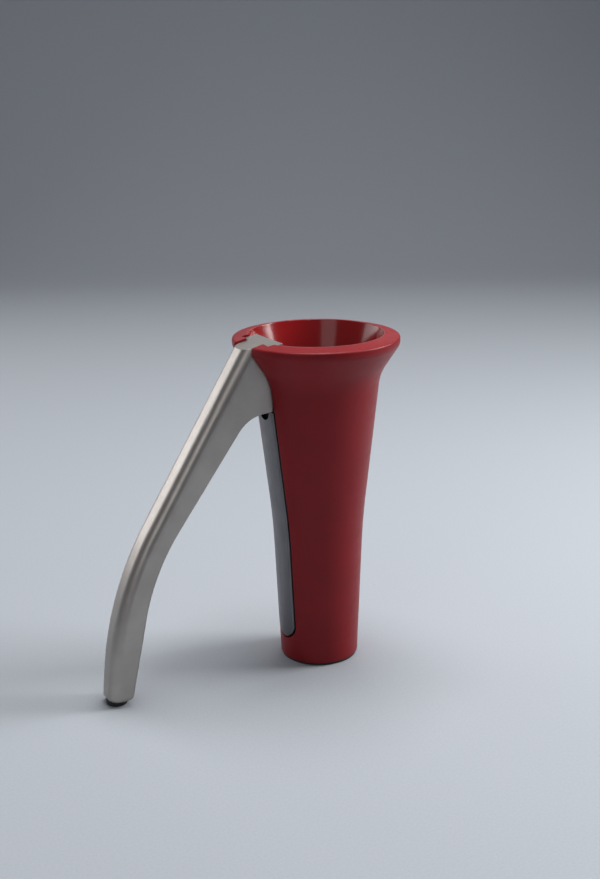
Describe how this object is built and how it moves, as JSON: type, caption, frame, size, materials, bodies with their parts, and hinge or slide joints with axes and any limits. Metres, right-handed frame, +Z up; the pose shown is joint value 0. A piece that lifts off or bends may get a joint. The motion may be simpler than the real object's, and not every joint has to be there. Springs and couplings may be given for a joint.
{
  "type": "lever nutcracker",
  "caption": "Trumpet-shaped cup nutcracker: a bent lever hinged at the rim swings a toothed jaw through a slot in the cup's wall. It stands on its base and the lever's foot.",
  "frame": {"origin": "centre of the cup's base on the surface it stands on", "axes": "+Z up along the cup's axis, the lever lies in the XZ plane towards -X, +Y across the lever"},
  "size_m": [0.1525, 0.0786, 0.1613],
  "materials": {
    "red_satin": "red satin paint on an aluminium casting",
    "red_gloss": "red gloss paint on spun aluminium",
    "jaw_steel": "satin",
    "screw_steel": "satin",
    "pin_steel": "ground",
    "black_plastic": "matte",
    "black_rubber": "matte",
    "satin_casting": "satin nickel look, bead blasted",
    "bush_brass": "plain"
  },
  "bodies": {
    "cup": {"outer_body": "red_satin", "inner_funnel": "red_gloss", "fixed_jaw": "jaw_steel", "fixed_jaw_screws": "screw_steel", "hinge_pin": "pin_steel", "base_plug": "black_plastic", "base_foot": "black_rubber", "return_spring": "pin_steel"},
    "lever": {"lever": "satin_casting", "hinge_bushes": "bush_brass", "moving_jaw": "jaw_steel", "jaw_screws": "screw_steel", "lever_foot": "black_rubber"}
  },
  "joints": [
    {"name": "lever_hinge", "type": "hinge", "parent": "cup", "child": "lever", "pos_m": [-0.028, 0, 0.156], "axis": [0, -1, 0], "range_deg": [0, 10], "stiffness_Nm_per_rad": 0.033, "springref_deg": -126.05, "deforming": ["return_spring"]}
  ]
}
